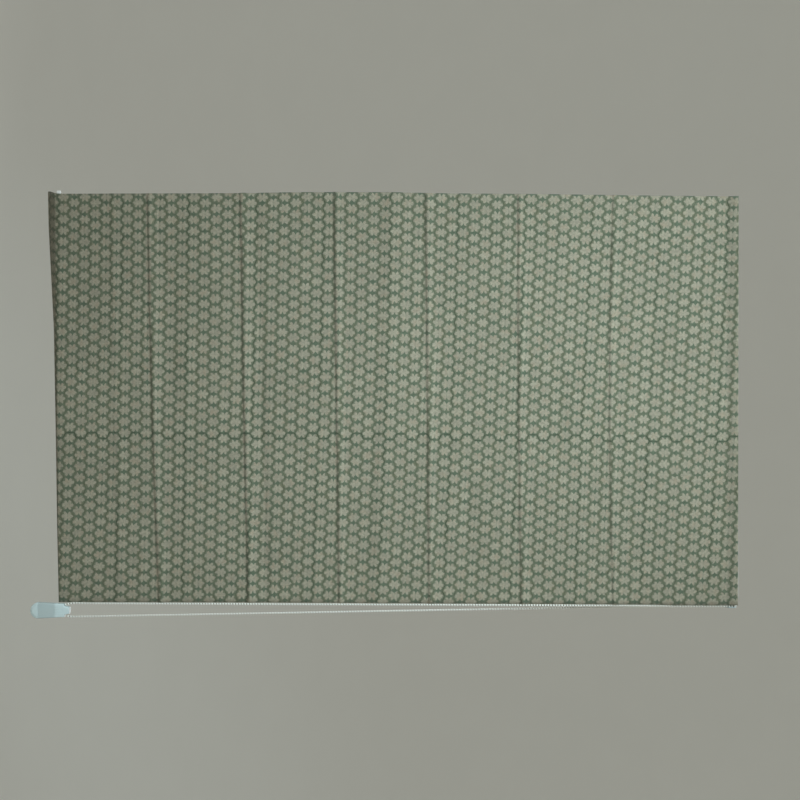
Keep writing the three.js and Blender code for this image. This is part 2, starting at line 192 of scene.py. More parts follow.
# Hem's way round the bar: back, back for each mm of slack, up, up for each mm of slack, left edge's spread
HEM_PATH = [
    (0, 0, 1.5, 0, 0.1),
    (0.7, 0.18, -0.2, -0.34, 0.6),
    (1.3, 0.5, 0, -0.73, 1),
    (2.7, 0.74, 0.75, -1, 1),
    (5.2, 0.78, 1.2, -0.7, 0.8),
    (7.45, 0.1, 5, 0, 0.4),
    (7.45, 0, 13, 0, 0.1),
    (6.85, 0, 22, 0, 0),
    (2, 0, 33, 0, 0),
    (2, 0, 38, 0, 0),
]
HEM_PARTS = 4

# The bar's end caps: node, piece, X of the inner and outer end
CAPS = [
    ("bar_cap_left", "end_cap_left", -444.3, -452.6),
    ("bar_cap_right", "end_cap_right", 436.3, 444.6),
]
CAP_HALF = (2.5, 5)
CAP_CORNER = 2.2
CAP_CORNER_PARTS = 5
CAP_ROUND = 1.4

# Chamfer at the back of each moulded piece
BACK_EDGE = 0.4

# Print: flowers in rows, every other row moved by half a flower, in blocks of six by six
FLOWER_PITCH = 24.2
ROW_PITCH = 24.0
BLOCK = 6
BLOCK_START = (0.458, 0.75)
STRONG_JOIN = 5.0
TIP_UP, TIP_ASIDE = 11.8, 11.0
NOTCH_UP, NOTCH_ASIDE = 8.3, 3.6
RAGGED = 10.5
WIDE_WARP, SMALL_WARP = 3, 3.4

# How askew the rows lie on the cloth, in millimetres: the start, then for each metre of x and y, and for
# each square metre of x*x, x*y and y*y
ROWS_ASIDE = (285.6, 997.2, 2.9, 7.6, 3.7, 3.4)
ROWS_UP = (365.0, 52.7, 987.2, 18.5, 10.1, -4.1)

# Weave, stitches and painted shade on the flat cloth: the hem's from the bottom line, the rail's from the
# top
WEAVE_PITCH = 1.3
STITCH_PITCH = 3.2
STITCHES_BELOW_RIB = 4.5
STITCHES_ABOVE_HEM = 22
HEM_SHADE_TOP, HEM_SHADE_BOTTOM = (-12.0, -15.0), (-44.0, -36.0)
RAIL_SHADE = 17.0

# Floor: flat in the middle, then rising all round
FLOOR_Z = -3000
FLOOR_MIDDLE = 0.01
FLOOR_FLAT = 4000
FLOOR_CURVE = 7500
FLOOR_RISE = 7800
FLOOR_PARTS, FLOOR_SIDES = 16, 64

# Colours, linear
BEIGE = (0.319, 0.300, 0.234)
BEIGE_STAIN = (0.296, 0.240, 0.175)
GREEN = (0.147, 0.168, 0.117)
OLIVE = (0.157, 0.159, 0.104)
DEEP_GREEN = (0.103, 0.137, 0.095)
LINE_GREEN = (0.090, 0.104, 0.067)
JOIN_GREEN = (0.052, 0.072, 0.045)
STITCH_GREEN = (0.20, 0.24, 0.17)
# The brown of the painted shade in the creases, under the hem and below the top edge
CREASE_SHADE_BROWN = (0.070, 0.068, 0.045)
COTTON = (0.46, 0.44, 0.37)
WHITE = (0.463, 0.562, 0.585)
CAP_WHITE = (0.84, 0.85, 0.83)
BEAD_WHITE = (0.95, 0.97, 0.92)
# The thread painted near black, as the shade between the beads
THREAD_SHADE = (0.030, 0.032, 0.028)
PAINT_WHITE = (0.70, 0.72, 0.71)
GLASS_FIBRE = (0.60, 0.57, 0.47)
DUST = (0.50, 0.49, 0.42)
FLOOR = (0.86, 0.87, 0.84)

# Lights: place, aim and size in metres, watts, colour, spread in degrees
LIGHTS = [
    ("key", (-0.9, -2.0, 0.98), (0.03, 0, -0.61), (1.2, 1.2), 10.1, (0.855, 1.0, 1.04), 54),
    ("behind", (0.7, 2.8, 0.5), (0, 0, -0.75), (1.8, 1.8), 45, (1.0, 0.99, 0.95), 180),
]
AROUND = (1.0, 0.99, 0.91)
AROUND_STRENGTH = 0.38


def mix(a, b, t):
    return a + (b - a) * t


def smooth(t):
    t = min(1, max(0, t))
    return t * t * (3 - 2 * t)


def read(table, at):
    """The value of a two-column table at one place, straight between its rows."""
    rows = sorted(table)
    if at <= rows[0][0]:
        return rows[0][1]
    for (low, a), (high, b) in zip(rows, rows[1:]):
        if at <= high:
            return mix(a, b, (at - low) / (high - low))
    return rows[-1][1]


def curve_at(a, b, c, d, t):
    """A number between b and c on the smooth curve through a, b, c and d."""
    square = (2 * a - 5 * b + 4 * c - d) * t**2
    cube = (3 * b - a - 3 * c + d) * t**3
    return 0.5 * (2 * b + (c - a) * t + square + cube)


def curve_through(points, parts):
    """A smooth line through points, in that many parts between two of them."""
    last = len(points) - 1
    line = []
    for i in range(last):
        four = points[max(0, i - 1)], points[i], points[i + 1], points[min(last, i + 2)]
        for k in range(parts):
            line.append([curve_at(*numbers, k / parts) for numbers in zip(*four)])
    line.append(list(points[-1]))
    return line


# Node graphs written as sums


class Value:
    """A number or vector in a node tree, which can be added, multiplied and so on."""

    def __init__(self, tree, socket):
        self.tree, self.socket = tree, socket

    def math(self, operation, *others):
        node = self.tree.nodes.new("ShaderNodeMath")
        node.operation = operation
        for slot, value in zip(node.inputs, (self, *others)):
            plug(self.tree, value, slot)
        return Value(self.tree, node.outputs[0])

    def vector_math(self, operation, *others):
        node = self.tree.nodes.new("ShaderNodeVectorMath")
        node.operation = operation
        for slot, value in zip(node.inputs, (self, *others)):
            plug(self.tree, value, slot)
        return Value(self.tree, node.outputs["Value" if operation == "LENGTH" else "Vector"])

    def times(self, factor):
        """This colour or vector times a number."""
        node = self.tree.nodes.new("ShaderNodeVectorMath")
        node.operation = "SCALE"
        plug(self.tree, self, node.inputs[0])
        plug(self.tree, factor, node.inputs["Scale"])
        return Value(self.tree, node.outputs[0])

    def over(self, low, high):
        """0 below low and 1 above high, smooth between them."""
        node = self.tree.nodes.new("ShaderNodeMapRange")
        node.interpolation_type = "SMOOTHSTEP"
        plug(self.tree, self, node.inputs["Value"])
        plug(self.tree, low, node.inputs["From Min"])
        plug(self.tree, high, node.inputs["From Max"])
        return Value(self.tree, node.outputs["Result"])

    def parts(self):
        node = self.tree.nodes.new("ShaderNodeSeparateXYZ")
        plug(self.tree, self, node.inputs[0])
        return [Value(self.tree, out) for out in node.outputs]

    def __add__(self, other):
        return self.math("ADD", other)

    def __sub__(self, other):
        return self.math("SUBTRACT", other)

    def __mul__(self, other):
        return self.math("MULTIPLY", other)

    def __truediv__(self, other):
        return self.math("DIVIDE", other)

    def __abs__(self):
        return self.math("ABSOLUTE")


def plug(tree, value, slot):
    if isinstance(value, Value):
        tree.links.new(value.socket, slot)
    else:
        slot.default_value = value


def joined(tree, x, y, z=0.0):
    node = tree.nodes.new("ShaderNodeCombineXYZ")
    for slot, value in zip(node.inputs, (x, y, z)):
        plug(tree, value, slot)
    return Value(tree, node.outputs[0])


def blend(tree, factor, a, b):
    """Colour a where factor is 0 and colour b where it is 1."""
    node = tree.nodes.new("ShaderNodeMix")
    node.data_type = "RGBA"
    plug(tree, factor, node.inputs[0])
    for slot, colour in ((node.inputs[6], a), (node.inputs[7], b)):
        plug(tree, colour if isinstance(colour, Value) else (*colour, 1), slot)
    return Value(tree, node.outputs[2])


def place(tree, kind="Object", scale=(1, 1, 1)):
    """Where a point is on the piece, in metres, each axis times its scale."""
    node = tree.nodes.new("ShaderNodeTexCoord")
    return Value(tree, node.outputs[kind]).vector_math("MULTIPLY", scale)


def clouds(tree, where, scale, detail=2.0, rough=0.5):
    """Noise from 0 to 1, about 0.5 on average."""
    node = tree.nodes.new("ShaderNodeTexNoise")
    plug(tree, where, node.inputs["Vector"])
    node.inputs["Scale"].default_value = scale
    node.inputs["Detail"].default_value = detail
    node.inputs["Roughness"].default_value = rough
    return Value(tree, node.outputs["Fac"])


def hashed(tree, where):
    """A number from 0 to 1 that stays the same all over one cell."""
    node = tree.nodes.new("ShaderNodeTexWhiteNoise")
    node.noise_dimensions = "3D"
    plug(tree, where, node.inputs["Vector"])
    return Value(tree, node.outputs["Value"])


def material(name, settings):
    """A new material: its node tree and its shader, with some of the shader's own values set."""
    made = bpy.data.materials.new(name)
    made.use_nodes = True
    tree = made.node_tree
    shader = tree.nodes["Principled BSDF"]
    for key, value in settings.items():
        shader.inputs[key].default_value = value
    return made, tree, shader


def finish_material(tree, shader, colour, roughness, height, depth):
    """Colour, roughness and a bump of that depth in metres."""
    plug(tree, colour, shader.inputs["Base Color"])
    plug(tree, roughness, shader.inputs["Roughness"])
    bump = tree.nodes.new("ShaderNodeBump")
    bump.inputs["Distance"].default_value = depth
    plug(tree, height, bump.inputs["Height"])
    tree.links.new(bump.outputs["Normal"], shader.inputs["Normal"])


# Print


def print_place(tree, cloth):
    """A point of the flat cloth, given in metres, in millimetres of the printed lattice."""
    x, y, _ = cloth.parts()
    found = []
    for start, *factors in (ROWS_ASIDE, ROWS_UP):
        total = start
        for term, factor in zip((x, y, x * x, x * y, y * y), factors):
            total = term * factor + total
        found.append(total)
    return joined(tree, *found)


def warp(tree, where, scale, width):
    """The place moved about by soft noise of that width."""
    aside = clouds(tree, where, scale, 1.0) - 0.5
    up = clouds(tree, where.vector_math("ADD", (900, 400, 0)), scale, 1.0) - 0.5
    return where.vector_math("ADD", joined(tree, aside * width, up * width))


def flower_cell(where):
    """The nearest flower's middle, and the way from it, on a lattice of rows moved by half."""
    half = (FLOWER_PITCH / 2, ROW_PITCH, 0.5)
    low = tuple(-value for value in half)
    even = where.vector_math("WRAP", half, low)
    odd = where.vector_math("SUBTRACT", half).vector_math("WRAP", half, low)
    nearer = odd.vector_math("LENGTH").math("LESS_THAN", even.vector_math("LENGTH"))
    way = even.vector_math("ADD", odd.vector_math("SUBTRACT", even).times(nearer))
    return where.vector_math("SUBTRACT", way), way


def petals(tree, where, way, flower_hash):
    """A flower of six petals, their tips up, down and on the diagonals.

    Gives 1 on the flower and 0 off it, how dark its lines are, and 1 to the left and right of its middle.
    """
    way_x, way_y, _ = way.parts()
    radius = way.vector_math("LENGTH")
    angle = way_y.math("ARCTAN2", way_x)
    beside = abs(angle.math("COSINE"))
    petal = abs((angle * 3).math("SINE")).math("POWER", 1.2)
    notch = beside.over(0.5, 0.97) * (NOTCH_ASIDE - NOTCH_UP) + NOTCH_UP
    tip = beside.over(0.2, 0.85) * (TIP_ASIDE - TIP_UP) + TIP_UP
    rough_edge = (clouds(tree, where, 0.31, 3.0, 0.75) - 0.5) * RAGGED
    size = flower_hash * 0.7 - 0.35
    outline = radius - (petal * (tip - notch) + notch) + rough_edge + size
    vein = petal.over(0.96, 1.0) * radius.over(2.2, 3.4) * radius.over(9.0, 7.5)
    seams = abs((angle * 3).math("COSINE")).over(0.93, 1.0) * radius.over(2.0, 4.0)
    eye = radius.over(2.4, 1.4)
    return outline.over(1.0, -1.0), vein * 0.2 + seams * 0.3 + eye * 0.2, beside


def honeycomb(way):
    """How near the edge to the next flower a point is, and 1 where that one is in the same row."""
    x, y = (abs(part) for part in way.parts()[:2])
    square = (FLOWER_PITCH**2 / 4 + ROW_PITCH**2) / 2
    side = x * (2 / FLOWER_PITCH)
    slope = x * (FLOWER_PITCH / 2 / square) + y * (ROW_PITCH / square)
    return side.math("MAXIMUM", slope), side.math("GREATER_THAN", slope)


def block_of(x, y):
    """Column and row of the printing block that holds a flower's middle."""
    column = (x / (BLOCK * FLOWER_PITCH) + BLOCK_START[0]).math("FLOOR")
    row = (y / (BLOCK * ROW_PITCH) + BLOCK_START[1]).math("FLOOR")
    return column, row


def block_joins(tree, where, middle, way, same_row):
    """How dark the join to the next flower is where another block starts, and a number for each block."""
    x, y, _ = middle.parts()
    way_x, way_y, _ = way.parts()
    next_x = x + way_x.math("SIGN") * (same_row * (FLOWER_PITCH / 2) + FLOWER_PITCH / 2)
    next_y = y + way_y.math("SIGN") * (same_row * -ROW_PITCH + ROW_PITCH)
    column, row = block_of(x, y)
    next_column, next_row = block_of(next_x, next_y)
    strong = abs(column + next_column - STRONG_JOIN).over(0.6, 0.4)
    worn = clouds(tree, where, 0.02, 2.0).over(0.25, 0.6)
    aside = abs(column - next_column) * (strong * 0.6 + 0.25)
    join = aside.math("MAXIMUM", abs(row - next_row) * worn * 0.7)
    return join, hashed(tree, joined(tree, column, row))


def ground_green(tree, where, beside, stain):
    """The green between the flowers: olive where it has faded, deeper beside the flowers."""
    faded = clouds(tree, where, 0.045, 3.0, 0.6).over(0.42, 0.68)
    green = blend(tree, faded * 0.8, GREEN, OLIVE)
    deep = beside.over(0.70, 0.95) * (stain * -0.5 + 1.0) * (faded * -0.4 + 1.0)
    return blend(tree, deep, green, DEEP_GREEN)


def print_colour(tree, where):
    """The printed pattern's colour, and 1 on its flowers, 0 between them."""
    where = warp(tree, warp(tree, where, 0.0045, WIDE_WARP), 0.05, SMALL_WARP)
    middle, way = flower_cell(where)
    flower_hash = hashed(tree, middle.vector_math("MULTIPLY", (0.37, 0.11, 0)).vector_math("FLOOR"))
    flower, marks, beside = petals(tree, where, way, flower_hash)
    edge, same_row = honeycomb(way)
    join, block_hash = block_joins(tree, where, middle, way, same_row)
    faint = clouds(tree, where, 0.08, 2.0).over(0.30, 0.62)
    ink = clouds(tree, where, 0.055, 4.0, 0.6)
    speckle = clouds(tree, where, 0.20, 3.0, 0.7)
    stain = ink.over(0.46, 0.70)

    green = ground_green(tree, where, beside, stain)
    line = edge.over(0.88, 0.96) * (faint * 0.5 + 0.5) * (same_row * -0.85 + 1.0)
    green = blend(tree, line * 0.9, green, LINE_GREEN)
    green = blend(tree, join * edge.over(0.84, 0.96) * (faint * 0.55 + 0.45), green, JOIN_GREEN)

    beige = joined(tree, *BEIGE).times(flower_hash * 0.14 + 0.93)
    beige = blend(tree, stain * 0.6, beige, BEIGE_STAIN)
    beige = blend(tree, marks, beige, GREEN)
    colour = blend(tree, flower, green, beige)
    return colour.times(ink * 0.28 + speckle + block_hash * 0.05 + 0.33), flower


# Materials


def weave(cloth):
    """Plain weave: threads over and under each other, from 0 to 1."""
    x, y, _ = cloth.parts()
    over = (x * (2 * math.pi / WEAVE_PITCH)).math("SINE")
    under = (y * (2 * math.pi / WEAVE_PITCH)).math("SINE")
    return over * under * 0.5 + 0.5


def distance_to(y, heights):
    """How far y is from the nearest of some heights."""
    found = [abs(y - height) for height in heights]
    nearest = found[0]
    for other in found[1:]:
        nearest = nearest.math("MINIMUM", other)
    return nearest


def stitches_and_painted_shade(tree, cloth):
    """Rows of stitches below each rib and along the hem, and painted shade in the creases below the ribs,
    under the hem's crease and in a band below the top edge.
    """
    x, y, _ = cloth.parts()
    bottom = (BOTTOM_LINE[0] + BOTTOM_LINE[1]) / 2
    below_ribs = [(left + right) / 2 - STITCHES_BELOW_RIB for left, right, _, _ in RIBS]
    dash = (x * (2 * math.pi / STITCH_PITCH)).math("SINE").over(-0.5, 0.1)
    stitches = distance_to(y, [*below_ribs, bottom + STITCHES_ABOVE_HEM]).over(0.5, 0.15) * dash
    patchy = clouds(tree, cloth.vector_math("MULTIPLY", (0.05, 0.2, 0)), 1.0, 3.0)
    # Painted shade in patches along the crease just below each rib
    painted_shade = distance_to(y, below_ribs).over(2.4, 0.4) * patchy.over(0.30, 0.70)
    # Painted shade on the strip under the hem's crease, fading in and out
    shade_under_hem = (y - bottom).over(*HEM_SHADE_TOP) * (y - bottom).over(*HEM_SHADE_BOTTOM)
    # A band of painted shade just below the top edge, over the rail
    shade_below_top = abs(y + RAIL_SHADE).over(12.0, 4.0) * 0.3
    return stitches, painted_shade.math("MAXIMUM", shade_under_hem).math("MAXIMUM", shade_below_top)


def cloth_material(name, back):
    """The cloth's printed face, or its back, where the print shows through paler."""
    made, tree, shader = material(name, {
        "Sheen Weight": 0.25,
        "Sheen Roughness": 0.5,
        "Specular IOR Level": 0.2,
    })
    cloth = place(tree, "UV", (1000, 1000, 0))
    colour, flower = print_colour(tree, print_place(tree, place(tree, "UV")))
    if back:
        colour = blend(tree, 0.62, colour, COTTON)
    threads = weave(cloth)
    colour = colour.times(threads * 0.06 + 0.97)
    stitches, painted_shade = stitches_and_painted_shade(tree, cloth)
    # Painted shade darkens the rib creases, the strip under the hem and the band below the top edge
    colour = blend(tree, painted_shade * 0.5, colour, CREASE_SHADE_BROWN)
    colour = blend(tree, stitches * 0.4, colour, COTTON if back else STITCH_GREEN)
    slubs = clouds(tree, cloth.vector_math("MULTIPLY", (0.06, 0.9, 0)), 1.0, 2.0)
    height = threads * 0.45 + slubs * 0.5 - stitches * 0.6 + flower * (0.0 if back else 0.12)
    finish_material(tree, shader, colour, slubs * 0.1 + 0.82, height, 0.0004)
    return made


def pale_ends_shaded_tops(tree):
    """1 at the tensioner's round end and neck, 0 on its greyer middle, and less on faces that look up, where
    shade is painted.
    """
    _, _, z = place(tree, scale=(1000, 1000, 1000)).parts()
    _, _, upward = place(tree, "Normal").parts()
    up = z - TENSIONER_Z
    return up.over(*PALE_BELOW) + up.over(*PALE_ABOVE) - upward.over(0.45, 0.95) * SHADE_ON_TOP


def plastic(name, colour, rough, grain, streaks=(1, 1, 1), pale_and_shade=None):
    """Moulded plastic or paint: fine grain, faint flow marks, dust in soft patches."""
    made, tree, shader = material(name, {"Specular IOR Level": 0.5})
    patches = clouds(tree, place(tree, scale=streaks), 38.0, 3.0)
    fine = clouds(tree, place(tree), grain, 2.0, 0.6)
    tone = joined(tree, *colour).times(patches * 0.10 + fine * 0.04 + 0.93)
    tone = blend(tree, patches.over(0.52, 0.8) * 0.10, tone, DUST)
    # The tensioner's paler ends, with painted shade on its faces that look up
    if pale_and_shade:
        tone = tone.times(pale_and_shade(tree) * PALE_AND_SHADE + 1.0)
    finish_material(tree, shader, tone, patches * 0.18 + rough, fine * 0.7 + patches * 0.5, 0.0002)
    return made


def shaded_thread_material():
    """The twisted thread between the beads, painted dark as the shade in the gaps between them."""
    made, tree, shader = material("bead_thread_shade", {"Sheen Weight": 0.2})
    x, y, z = place(tree, scale=(900, 900, 900)).parts()
    twist = ((x + y + z) * 3.0).math("SINE") * 0.5 + 0.5
    tone = joined(tree, *THREAD_SHADE).times(twist * 0.25 + 0.75)
    finish_material(tree, shader, tone, twist * 0.1 + 0.7, twist, 0.0001)
    return made


def floor_material():
    made, tree, shader = material("floor", {"Specular IOR Level": 0.2})
    patches = clouds(tree, place(tree), 2.5, 3.0)
    tone = joined(tree, *FLOOR).times(patches * 0.03 + 0.985)
    finish_material(tree, shader, tone, patches * 0.1 + 0.75, patches, 0.0002)
    return made


# Meshes


def add_mesh(name, corners, faces, materials, picks=None):
    """A smooth object from corners in millimetres, with the material that picks gives for each face."""
    mesh = bpy.data.meshes.new(name)
    mesh.from_pydata([Vector(corner) * MM for corner in corners], [], faces)
    mesh.validate()
    for made in materials:
        mesh.materials.append(made)
    if picks:
        mesh.polygons.foreach_set("material_index", picks)
    mesh.polygons.foreach_set("use_smooth", [True] * len(mesh.polygons))
    added = bpy.data.objects.new(name, mesh)
    bpy.context.scene.collection.objects.link(added)
    return added


def add_piece(name, corners, faces, materials, nodes, picks=None):
    """A piece that rides on the one body and stands for some nodes."""
    piece = add_mesh(name, corners, faces, materials, picks)
    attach(piece, "root")
    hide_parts(*nodes)
    return piece


def circle(radius, sides):
    return [
        (radius * math.cos(2 * math.pi * k / sides), radius * math.sin(2 * math.pi * k / sides))
        for k in range(sides)
    ]


def loft(rings, caps=True):
    """Corners and faces of a closed skin over rings of as many points each."""
    count = len(rings[0])
    corners = [point for ring in rings for point in ring]
    faces = []
    for i in range(len(rings) - 1):
        for k in range(count):
            a, b = i * count + k, i * count + (k + 1) % count
            faces.append((a, b, b + count, a + count))
    if caps:
        last = (len(rings) - 1) * count
        faces.append(tuple(reversed(range(count))))
        faces.append(tuple(range(last, last + count)))
    return corners, faces


def merge(parts):
    """Several skins as one mesh."""
    corners, faces = [], []
    for more, sides in parts:
        start = len(corners)
        corners.extend(more)
        faces.extend(tuple(start + i for i in side) for side in sides)
    return corners, faces


def inset(outline, distance):
    """A closed outline moved inwards, which is to the left of its way round."""
    moved = []
    for i, (x, y) in enumerate(outline):
        (x0, y0), (x1, y1) = outline[i - 1], outline[(i + 1) % len(outline)]
        before = Vector((x - x0, y - y0)).normalized()
        after = Vector((x1 - x, y1 - y)).normalized()
        side = Vector((-before.y - after.y, before.x + after.x))
        share = max(0.35, side.length / 2)
        side = side.normalized() * (distance / share)
        moved.append((x + side.x, y + side.y))
    return moved


def rounded_prism(outline, back, front, edge, place_point, steps=5):
    """An outline carried from back to front, with a round edge at the front and a small one at the back."""
    towards = 1 if front > back else -1
    levels = [(BACK_EDGE, back), (0, back + towards * BACK_EDGE)]
    for k in range(steps + 1):
        angle = math.pi / 2 * k / steps
        levels.append((edge * (1 - math.cos(angle)), front - towards * edge * (1 - math.sin(angle))))
    rings = [[place_point(a, b, level) for a, b in inset(outline, by)] for by, level in levels]
    return loft(rings)


# Chain


def strand(side):
    """Points of one strand, from the wheel down into the tensioner."""
    top = (WHEEL_X, side * WHEEL_RADIUS, WHEEL_Z)
    flat = (FLAT_X[side], CHAIN_FLAT_Y, CHAIN_FLAT_Z)
    points = []
    for k in range(STRAND_PARTS + 1):
        points.append(tuple(mix(a, b, k / STRAND_PARTS) for a, b in zip(top, flat)))
    lower = points[-2:]
    for z, out, nearer in CHAIN_BOW:
        lower.append((FLAT_X[side] + side * out, CHAIN_FLAT_Y - nearer, z))
    lower.append((TENSIONER_X + side * CHAIN_END_APART, CHAIN_FLAT_Y - CHAIN_BOW[-1][2], CHAIN_END_Z))
    return points[:-2] + [tuple(point) for point in curve_through(lower, BOW_PARTS)]


def chain_route():
    """Up the near strand, over the wheel and down the far one."""
    turn = []
    for k in range(1, TURN_PARTS):
        angle = math.pi * k / TURN_PARTS
        turn.append((WHEEL_X, -WHEEL_RADIUS * math.cos(angle), WHEEL_Z + WHEEL_RADIUS * math.sin(angle)))
    return [Vector(point) for point in strand(-1)[::-1] + turn + strand(1)]


def along(route):
    """A function that gives the place and direction at a length along the route, and the whole length."""
    lengths = [0.0]
    for a, b in zip(route, route[1:]):
        lengths.append(lengths[-1] + (b - a).length)

    def at(length):
        low, high = 0, len(lengths) - 1
        while high - low > 1:
            middle = (low + high) // 2
            low, high = (middle, high) if lengths[middle] <= length else (low, middle)
        a, b = route[low], route[high]
        return a.lerp(b, (length - lengths[low]) / (lengths[high] - lengths[low])), (b - a).normalized()

    return at, lengths[-1]


def bead_outline():
    """One bead from thread to thread: how far along the chain from its middle, and its radius there."""
    rows = []
    for k in range(BEAD_RINGS):
        angle = math.pi * (k / (BEAD_RINGS - 1) * BEAD_ARC + (1 - BEAD_ARC) / 2)
        rows.append((-BEAD_RADIUS * math.cos(angle), BEAD_RADIUS * math.sin(angle)))
    rows[0] = (rows[0][0], THREAD_RADIUS)
    rows[-1] = (rows[-1][0], THREAD_RADIUS)
    return rows


def ring_round(centre, ahead, radius):
    """Points round the chain at one place of its route."""
    side = Vector((1, 0, 0))
    side = (side - ahead * side.dot(ahead)).normalized()
    up = ahead.cross(side)
    return [centre + (side * a + up * b) * radius for a, b in circle(1, BEAD_SIDES)]


def make_chain():
    """Beads and the thread between them, as one skin whose width swells at each bead.

    A bead's two ends, where the thread goes in, get the thread's painted shade.
    """
    route = chain_route()
    at, whole = along(route)
    outline = bead_outline()
    rings, in_shade = [], []
    for n in range(int((whole - BEAD_RADIUS) // BEAD_PITCH)):
        middle = (n + 0.5) * BEAD_PITCH
        for k, (offset, radius) in enumerate(outline):
            rings.append(ring_round(*at(middle + offset), radius))
            # the bands at a bead's two ends take the thread's painted shade
            in_shade.append(0 if 0 < k < len(outline) - 2 else 1)
    corners, faces = loft(rings)
    picks = [in_shade[i // BEAD_SIDES] for i in range(len(faces) - 2)] + [0, 0]
    materials = [plastic("bead_white", BEAD_WHITE, 0.22, 900.0), shaded_thread_material()]
    nodes = ("chain_near", "chain_far", "chain_turn")
    chain = add_piece("bead_chain", corners, faces, materials, nodes, picks)
    whole * MM


# Cloth


def line_at(line, x):
    """The height of a line across the cloth, with its sag."""
    t = (x - X_LEFT) / (X_RIGHT - X_LEFT)
    return mix(line[0], line[1], t) - 4 * line[2] * t * (1 - t)


def hump(distance, above, below):
    return math.exp(-((distance / (above if distance > 0 else below)) ** 2))


def unevenness(x, z):
    """Small wide waves that run mostly across the cloth, none at its edges or on the ribs."""
    edge = smooth((x + 440) / 60) * smooth((440 - x) / 60) * smooth((-z - 40) / 80)
    stiff = 1 - max(hump(z - line_at(rib, x), STIFF_NEAR_RIB, STIFF_NEAR_RIB) for rib in RIBS)
    waves = 0
    for width, height, seed, out in WAVES:
        waves += out * noise.noise(Vector((x / width, z / height, seed)))
    return (waves + WAVES_OUT) * edge * stiff


def wander(x, number, how):
    """How far up a rib or fold of that number strays at one X."""
    far, width, step, seed = how
    return far * noise.noise(Vector((x / width, number * step, seed)))


def relief(x, z):
    """How far the ribs and folds push the cloth into the room."""
    total = unevenness(x, z)
    for number, rib in enumerate(RIBS):
        away = z - line_at(rib, x) + wander(x, number, RIB_WANDER)
        total += rib[3] * hump(away, RIB_ABOVE, RIB_BELOW)
    for number, (left, right, start, end, out, above, below) in enumerate(FOLDS):
        window = smooth((x - start) / FOLD_FADE) * smooth((end - x) / FOLD_FADE)
        if window:
            away = z - line_at((left, right, 0), x) + wander(x, number, FOLD_WANDER)
            total += out * window * hump(away, above, below)
    return total


def front_at(x, z):
    heading = HEADING_FRONT - HEADING_LIP * smooth(1 + z / HEADING_DROP)
    below = smooth((-z - HEADING_DROP) / HEADING_BLEND)
    return mix(heading, CLOTH_FRONT, below) - relief(x, z)


def cloth_lines():
    """Lines that the cloth's rows follow, close together by the ribs and below the top."""
    anchors = [TOP_LINE] + [rib[:3] for rib in RIBS] + [BOTTOM_LINE]
    lines = []
    for i, (upper, lower) in enumerate(zip(anchors, anchors[1:])):
        length = (upper[0] + upper[1] - lower[0] - lower[1]) / 2
        down = 0
        while down < length - FINE_STEP / 2:
            lines.append([mix(a, b, down / length) for a, b in zip(upper, lower)])
            below_rib = i > 0 and down < FINE_NEAR_RIB
            above_rib = i < len(RIBS) and length - down < FINE_NEAR_RIB
            below_top = i == 0 and down < FINE_BELOW_TOP
            down += FINE_STEP if below_rib or above_rib or below_top else COARSE_STEP
    lines.append(list(BOTTOM_LINE))
    return lines


def hem_rows(x):
    """The hem's path round the bar at one X: Y, Z and the spread of the left edge."""
    front = CLOTH_FRONT + FACE_OUT
    t = (x - X_LEFT) / (X_RIGHT - X_LEFT)
    crease = mix(BAR_LEFT_Z, BAR_RIGHT_Z, t) - CREASE_BELOW_BAR
    slack = crease - read(HEM_LOW, x)
    points = [
        (front + back + back_slack * slack, crease + up + up_slack * slack, spread)
        for back, back_slack, up, up_slack, spread in HEM_PATH
    ]
    return curve_through(points, HEM_PARTS)


def cloth_column(u, lines):
    """One column's points at a share of the width, and how far down each lies on the flat cloth."""
    nominal = mix(X_LEFT, X_RIGHT, u)
    points, lengths = [], []
    for line in lines:
        z = line_at(line, nominal)
        x = mix(read(LEFT_EDGE, z), read(RIGHT_EDGE, z), u)
        points.append(Vector((x, front_at(x, z) + FACE_OUT, z)))
        lengths.append((line[0] + line[1]) / 2)
    for y, z, spread in hem_rows(nominal):
        left = mix(read(LEFT_EDGE, z), HEM_LEFT, spread)
        points.append(Vector((mix(left, read(RIGHT_EDGE, z), u), y, z)))
        lengths.append(lengths[-1] - (points[-1] - points[-2]).length)
    return points, lengths


def cloth_corners():
    """A front and a back corner for each point, their places on the flat cloth, and the rows in a column."""
    lines = cloth_lines()
    corners, flat = [], []
    for j in range(COLUMNS + 1):
        points, lengths = cloth_column(j / COLUMNS, lines)
        rows = len(points)
        for i, point in enumerate(points):
            before, after = points[max(0, i - 1)], points[min(rows - 1, i + 1)]
            run = Vector((0, after.y - before.y, after.z - before.z)).normalized()
            out = Vector((0, run.z, -run.y))
            corners += [point + out * FACE_OUT, point + out * (FACE_OUT - CLOTH_THICKNESS)]
            place_on_cloth = (mix(X_LEFT, X_RIGHT, j / COLUMNS), lengths[i])
            flat += [place_on_cloth, place_on_cloth]
    return corners, flat, rows


